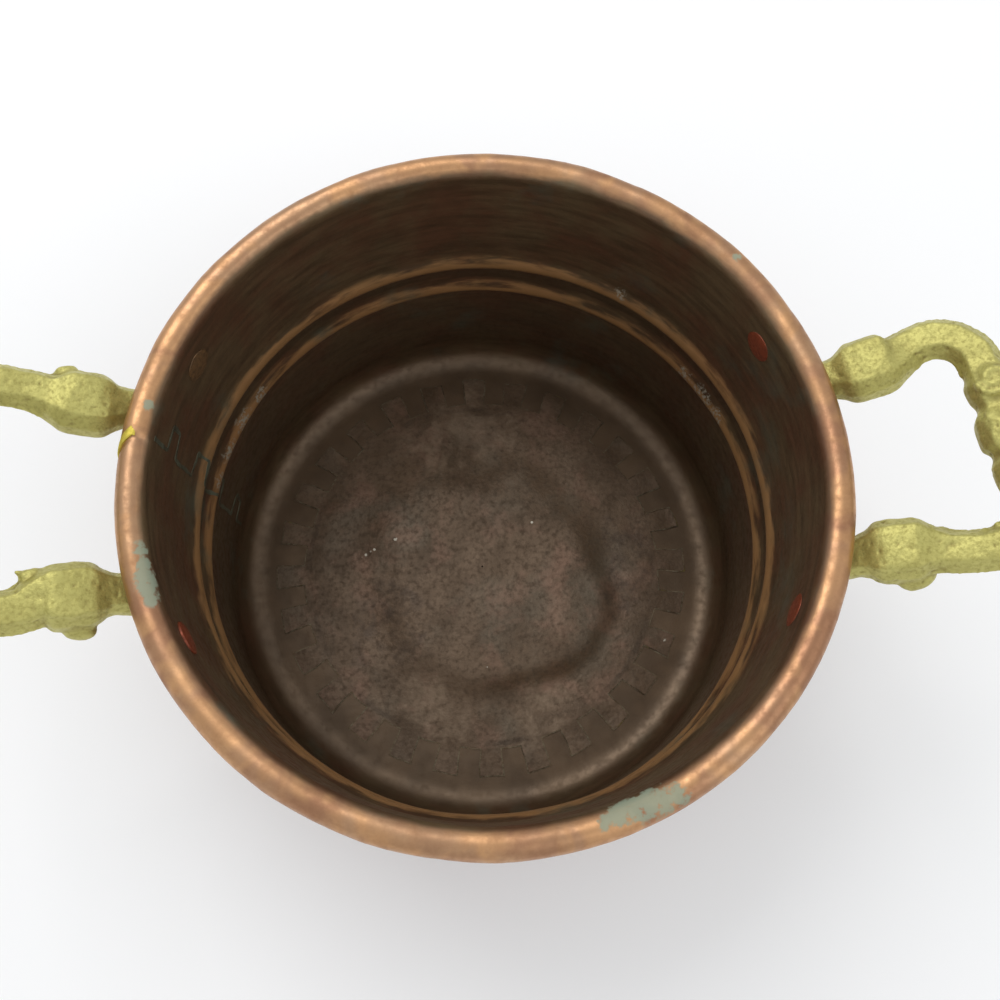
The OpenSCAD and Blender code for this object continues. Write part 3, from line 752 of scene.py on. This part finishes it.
sideForms = {
    "right": [((28.8, 28.6, 6), (4, 2.6, 2.4), 32, 0.9), ((28, -39.5, -3), (6.5, 4.4, 4), 15, 0.9),
              ((50, -28.5, 2.4), (1.8, 1.5, 1.5), 0, 1), ((54, -27.3, 2.4), (1.5, 1.4, 1.5), 0,
                                                          1), ((20, 29.5, -3), (5, 3.5, 4), 0, 1)],
    "left": [((36, 28.2, 1.5), (3.8, 2.4, 2.6), 20, 0.8), ((39, 27.6, 1.5), (2.3, 1.1, 1.3), -10, 1),
             ((20.5, 44, -3), (5.5, 3.6, 4), 0, 1), ((22.6, -25, -3), (6, 4, 4), 10, 1), ((30.5, -41.5, 0),
                     (4, 2.2, 4), 15, 0.8)],
}


def swell(value, at, length):
    return 1 / (1 + np.abs((value - at) / (length / 2)) ** 6)


def smoothLine(points, step):  # smooth line through the points, sampled about every step mm
    points = np.asarray(points, float)
    ends = np.concatenate([[2 * points[0] - points[1]], points, [2 * points[-1] - points[-2]]])
    line = []
    for a, b, c, d in zip(ends, ends[1:], ends[2:], ends[3:]):
        for t in np.arange(0, 1, 1 / max(1, round(np.linalg.norm(c - b) / step))):
            bend = (2 * a - 5 * b + 4 * c - d) * t * t + (3 * b - a - 3 * c + d) * t ** 3
            line.append(0.5 * (2 * b + (c - a) * t + bend))
    return np.array(line + [points[-1]])


def armPoints(out):  # middle line of one arm from the wall to the grip
    c = casting
    half, wide, bend = c["rootSpan"] / 2, c["shoulderSpan"] / 2, c["shoulder"]
    start, end = c["knuckleAt"] - c["knuckleLong"] / 2, c["knuckleAt"] + c["knuckleLong"] / 2
    spread = [half + (wide - half) * share for share in (0, 0.1, 0.35, 0.8)]
    points = [(-c["rootIn"], half), (start - c["rootLead"], half), (start, half), (c["knuckleAt"], spread[1]),
              (end, spread[2]), ((end + out - bend) / 2, spread[3])]
    turns = np.radians(np.linspace(86, 4, 5))
    return points + [(out - bend + bend * math.cos(a), wide - bend + bend * math.sin(a)) for a in turns]


def armSweep():  # the whole bow as one bar, in the casting's own frame
    c = casting
    back = armPoints(c["reach"] - c["skew"] / 2)
    front = [(x, -y) for x, y in armPoints(c["reach"] + c["skew"] / 2)]
    grip = [(c["reach"] - c["skew"] * y / c["shoulderSpan"], y) for y in (15, 7.5, 0, -7.5, -15)]
    points = np.array(back + grip + front[::-1])
    points[:, 1] += c["lean"] * np.maximum(points[:, 0], 0) / c["reach"]
    line = smoothLine(points, 1.0)
    along = np.gradient(line, axis=0)
    along /= np.linalg.norm(along, axis=1)[:, None]
    x, y = line[:, 0], line[:, 1] - c["lean"]
    outer = x > c["knuckleAt"] + c["knuckleLong"]
    knuckle = swell(x, c["knuckleAt"], c["knuckleLong"])
    lobe = np.maximum(swell(y, c["lobeAt"], c["lobeLong"]), swell(y, -c["lobeAt"], c["lobeLong"])) * outer
    boss = swell(y, 0, c["bossLong"]) * outer
    more = (c["lobeWidth"] - c["armWidth"]) * lobe + (c["bossWidth"] - c["armWidth"]) * boss
    root = np.maximum(0, 1 - x / c["flareEnd"]) ** 2
    wider = (c["knuckleWidth"] - c["armWidth"]) * knuckle + more + c["rootFlare"] * root
    halfWidth = (c["armWidth"] + wider) / 2
    halfHeight = (c["armHeight"] + (c["knuckleHeight"] - c["armHeight"]) * knuckle + more * c["gripRise"]) / 2
    section = np.array(c["section"])
    sides = np.stack([along[:, 1], -along[:, 0]], 1)
    flat = line[:, None] + sides[:, None] * (halfWidth[:, None] * section[None, :, 0])[..., None]
    high = halfHeight[:, None] * section[None, :, 1]
    count, size = len(line), len(section)
    rings = np.concatenate([flat, high[..., None]], -1).reshape(-1, 3)
    faces = [tuple(range(size)), tuple(range((count - 1) * size, count * size))] + ringFaces(count, size)
    strips = []
    for side in (-1, 1):  # the raised bead along both cheeks of each arm
        for inReach in (y > 22, y < -22):
            pick = np.nonzero(inReach & (x > c["knuckleAt"] + c["knuckleLong"] / 2 + 2))[0]
            for i in pick[::2]:
                place = line[i] + sides[i] * side * halfWidth[i] * 0.98
                strips.append(blob((place[0], place[1], 0.1 * halfHeight[i]), (2, 1.2, 1.2),
                                   math.degrees(math.atan2(along[i, 1], along[i, 0])), 1, 10))
    return [(rings, faces)] + strips


def blob(centre, sizes, turn=0.0, square=1.0, count=20):  # rounded lump, boxier with a lower square value
    lean = np.linspace(-np.pi / 2, np.pi / 2, count // 2 + 1)[:, None]
    spin = np.arange(count)[None] * 2 * np.pi / count

    def power(w):
        return np.sign(w) * np.abs(w) ** square

    x, y, z = np.broadcast_arrays(sizes[0] * power(np.cos(lean)) * power(np.cos(spin)),
                                  sizes[1] * power(np.cos(lean)) * power(np.sin(spin)),
                                  sizes[2] * power(np.sin(lean)))
    a = math.radians(turn)
    points = np.stack([x * math.cos(a) - y * math.sin(a), x * math.sin(a) + y * math.cos(a), z], -1) + centre
    return points.reshape(-1, 3), ringFaces(count // 2 + 1, count)


def curl(x, y, z, start, turns):  # scroll of lumps that winds in
    for i in range(20):
        share = i / 19
        a = math.radians(start + 360 * turns * share)
        reach = 5.4 - 3.8 * share
        yield blob((x + reach * math.cos(a), y + reach * math.sin(a), z), (1.9, 1.3, 1.5),
                   math.degrees(a) + 90, 1, 10)


# the curved plate under one arm that the rivet goes through, side 1 at the back and -1 in front
def footSlab(side):
    c = casting
    out = np.radians(np.arange(0, 360, 9))[:, None]
    facing = np.concatenate([np.cos(out), np.sin(out)], 1)
    rivetSpot = np.array((math.radians(c["rivetAngle"]) * c["wallOut"], c["rivetHeight"]))
    rootSpot = np.array((math.asin(c["rootSpan"] / 2 / c["wallOut"]) * c["wallOut"], c["rootHeight"]))
    nearRivet = facing @ rivetSpot + c["footEnd"] > facing @ rootSpot + c["footRoot"]
    edge = np.where(nearRivet[:, None], rivetSpot + facing * c["footEnd"], rootSpot + facing * c["footRoot"])
    rings = []
    for radius, inset in ((c["wallOut"] - c["seat"], 0), (c["footOut"] - c["footEdge"], 0),
                          (c["footOut"] - 0.2, c["footEdge"])):
        spot = edge - facing * inset
        rings.append(onCylinder(side * np.degrees(spot[:, 0] / c["wallOut"]), radius, spot[:, 1]))
    count = len(edge)
    faces = [tuple(range(count)), tuple(range(2 * count, 3 * count))] + ringFaces(3, count)
    return np.concatenate(rings), faces


def fused(points, faces, voxel):  # one skin round all the closed parts
    mesh = bpy.data.meshes.new("parts")
    mesh.from_pydata((points * mm).tolist(), [], faces)
    body = bpy.data.objects.new("parts", mesh)
    bpy.context.scene.collection.objects.link(body)
    remesh = body.modifiers.new("remesh", "REMESH")
    remesh.mode = "VOXEL"
    remesh.voxel_size = voxel * mm
    skin = bpy.data.meshes.new_from_object(body.evaluated_get(bpy.context.evaluated_depsgraph_get()))
    bpy.data.objects.remove(body)
    coordinates = np.zeros(len(skin.vertices) * 3)
    skin.vertices.foreach_get("co", coordinates)
    edges = np.zeros(len(skin.edges) * 2, int)
    skin.edges.foreach_get("vertices", edges)
    edges = edges.reshape(-1, 2)
    points = coordinates.reshape(-1, 3) / mm
    faces = [tuple(f.vertices) for f in skin.polygons]
    for k in range(2):
        total, near = np.zeros_like(points), np.zeros(len(points))
        for a, b in (edges.T, edges.T[::-1]):
            np.add.at(total, a, points[b])
            np.add.at(near, a, 1)
        points = 0.4 * points + 0.6 * total / near[:, None]
    normals = np.zeros_like(points)
    quads = np.array([f[:3] for f in faces])
    flat = np.cross(points[quads[:, 1]] - points[quads[:, 0]], points[quads[:, 2]] - points[quads[:, 0]])
    for k in range(3):
        np.add.at(normals, quads[:, k], flat)
    normals /= np.maximum(np.linalg.norm(normals, axis=1), 1e-9)[:, None]
    return points, faces, normals


def castHandle(side, node, seed):
    c = casting
    parts = armSweep() + [blob(*form) for form in c["forms"] + sideForms[side]]
    parts += list(curl(61, 20, 7.2, 200, 1.3)) + list(curl(65.5, -10.5, 7.2, 160, -1.3))
    points, faces = gather(parts)
    rise = math.radians(c["rise"])
    x, y, z = points.T
    outward = c["wallOut"] + x * math.cos(rise) - z * math.sin(rise)
    upward = c["rootHeight"] + x * math.sin(rise) + z * math.cos(rise)
    own = np.stack([outward, y, upward], 1)
    points, faces = gather([(own, faces), footSlab(1), footSlab(-1)])
    points, faces, normals = fused(points, faces, c["voxel"])
    rough = (c["lump"] * lumps(points, 5, seed) + c["grain"] * lumps(points, 2.1, seed + 1)
             - c["pit"] * smoothStep(0.45, 0.9, lumps(points, 1.8, seed + 2)) - 0.15)
    points = points + normals * rough[:, None]
    radius = np.hypot(points[:, 0], points[:, 1])
    seated = np.maximum(radius, c["wallOut"] - c["seat"])
    points[:, :2] *= (seated / radius)[:, None]
    if side == "left":
        points[:, :2] *= -1
    low, high = (np.array(corner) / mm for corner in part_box(node))
    points = np.clip(points, low, high)
    piece = makePiece(side + "HandleCasting", points, faces, brassMaterial, 60)
    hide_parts(node)
    print(side, "handle made:", len(faces), "faces")


castHandle("right", "right_handle", 71)
castHandle("left", "left_handle", 81)


# Hammered rivets

rivet = {
    "angle": 25.75, "height": 127.5, "headRadius": 6, "innerRise": 1.4, "outerRise": 3, "shankRadius": 3,
    "innerSeat": 109.8, "outerSeat": 115.2, "edge": 0.4, "wobble": 0.05, "dent": 0.22, "sides": 36,
}


def hammeredRivet(name, node, angle, material, seed):
    r = rivet
    arcs = np.radians(np.linspace(0, 90, 10))
    domeIn, domeOut = r["innerRise"] - r["edge"], r["outerRise"] - r["edge"] - 0.2
    profile = [(r["headRadius"] * math.sin(a) ** 0.9, r["innerSeat"] - r["edge"] - domeIn * math.cos(a))
               for a in arcs]
    profile += [(r["headRadius"], r["innerSeat"] + 0.3), (r["shankRadius"], r["innerSeat"] + 0.3),
                (r["shankRadius"], r["outerSeat"] - 0.4), (r["headRadius"], r["outerSeat"] - 0.4)]
    profile += [(r["headRadius"] * math.sin(a), r["outerSeat"] + r["edge"] + domeOut * math.cos(a))
                for a in arcs[::-1]]
    reach, out = np.array(profile).T
    spin = np.arange(r["sides"])[None] * 2 * np.pi / r["sides"]
    rimRound = np.stack([np.cos(spin), np.sin(spin), spin * 0], -1) * 2
    wobble = 1 - r["wobble"] * (1 + lumps(rimRound, 1.1, seed)) / 2
    side, up = reach[:, None] * np.cos(spin) * wobble, reach[:, None] * np.sin(spin) * wobble
    out = np.broadcast_to(out[:, None], side.shape)
    dents = r["dent"] * (0.5 + 0.5 * lumps(np.stack([side, up, out], -1), 2.6, seed + 1))
    out = out + np.where(out < (r["innerSeat"] + r["outerSeat"]) / 2, dents,
                         -dents) * (reach[:, None] < r["headRadius"] * 0.97)
    a = math.radians(angle)
    points = np.stack([out * math.cos(a) - side * math.sin(a), out * math.sin(a) + side * math.cos(a),
                       r["height"] + up], -1)
    piece = makePiece(name, points, ringFaces(*side.shape), material)
    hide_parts(node)


hammeredRivet("rightBackRivet", "right_back_rivet", rivet["angle"], redRivet, 91)
hammeredRivet("leftBackRivet", "left_back_rivet", 180 - rivet["angle"], brownRivet, 93)
hammeredRivet("leftFrontRivet", "left_front_rivet", 180 + rivet["angle"], redRivet, 95)
hammeredRivet("rightFrontRivet", "right_front_rivet", -rivet["angle"], redRivet, 97)
print("rivets made")


# Floor, light and camera

def paleFloor():
    material, tree, shader, place = newMaterial("white paper", metallic=0.0, roughness=0.9)
    shader.inputs["Base Color"].default_value = colour("fbfbfb")
    return material


bpy.ops.mesh.primitive_plane_add(size=6, location=(0, 0, 0))
floor = bpy.context.object
floor.name = "paperFloor"
floor.data.materials.append(paleFloor())

world = bpy.data.worlds.new("studio")
bpy.context.scene.world = world
world.use_nodes = True
world.node_tree.nodes["Background"].inputs["Color"].default_value = colour("f2f4f6")
world.node_tree.nodes["Background"].inputs["Strength"].default_value = 0.85

# place in metres, size, watts
lamps = {"window": ((-0.5, 0.9, 1.5), 1.0, 10), "fill": ((0.9, -0.7, 1.3), 1.2, 3)}
for name, (spot, size, watts) in lamps.items():
    data = bpy.data.lights.new(name, "AREA")
    data.size = size
    data.energy = watts
    lamp = bpy.data.objects.new(name, data)
    lamp.location = spot
    lamp.rotation_mode = "QUATERNION"
    lamp.rotation_quaternion = (Vector((0, 0, 0.08)) - Vector(spot)).to_track_quat("-Z", "Y")
    bpy.context.scene.collection.objects.link(lamp)

camera = {"place": (-0.01231, -0.10213, 0.44706), "tilt": 16.78, "pan": 2.733, "roll": -2.298, "lens": 35.73}
tilt, pan, roll = (math.radians(camera[k]) for k in ("tilt", "pan", "roll"))
right, up = Vector((1, 0, 0)), Vector((0, math.cos(tilt), math.sin(tilt)))
forward = Vector((0, math.sin(tilt), -math.cos(tilt)))
forward, right = (math.cos(pan) * forward + math.sin(pan) * right,
                  math.cos(pan) * right - math.sin(pan) * forward)
right, up = math.cos(roll) * right + math.sin(roll) * up, math.cos(roll) * up - math.sin(roll) * right
cameraData = bpy.data.cameras.new("camera")
cameraData.lens = camera["lens"]
cameraData.sensor_width = 36
cameraObject = bpy.data.objects.new("camera", cameraData)
cameraObject.matrix_world = Matrix((right, up, -forward)).transposed().to_4x4()
cameraObject.location = camera["place"]
bpy.context.scene.collection.objects.link(cameraObject)
bpy.context.scene.camera = cameraObject
bpy.context.scene.view_settings.view_transform = "Standard"
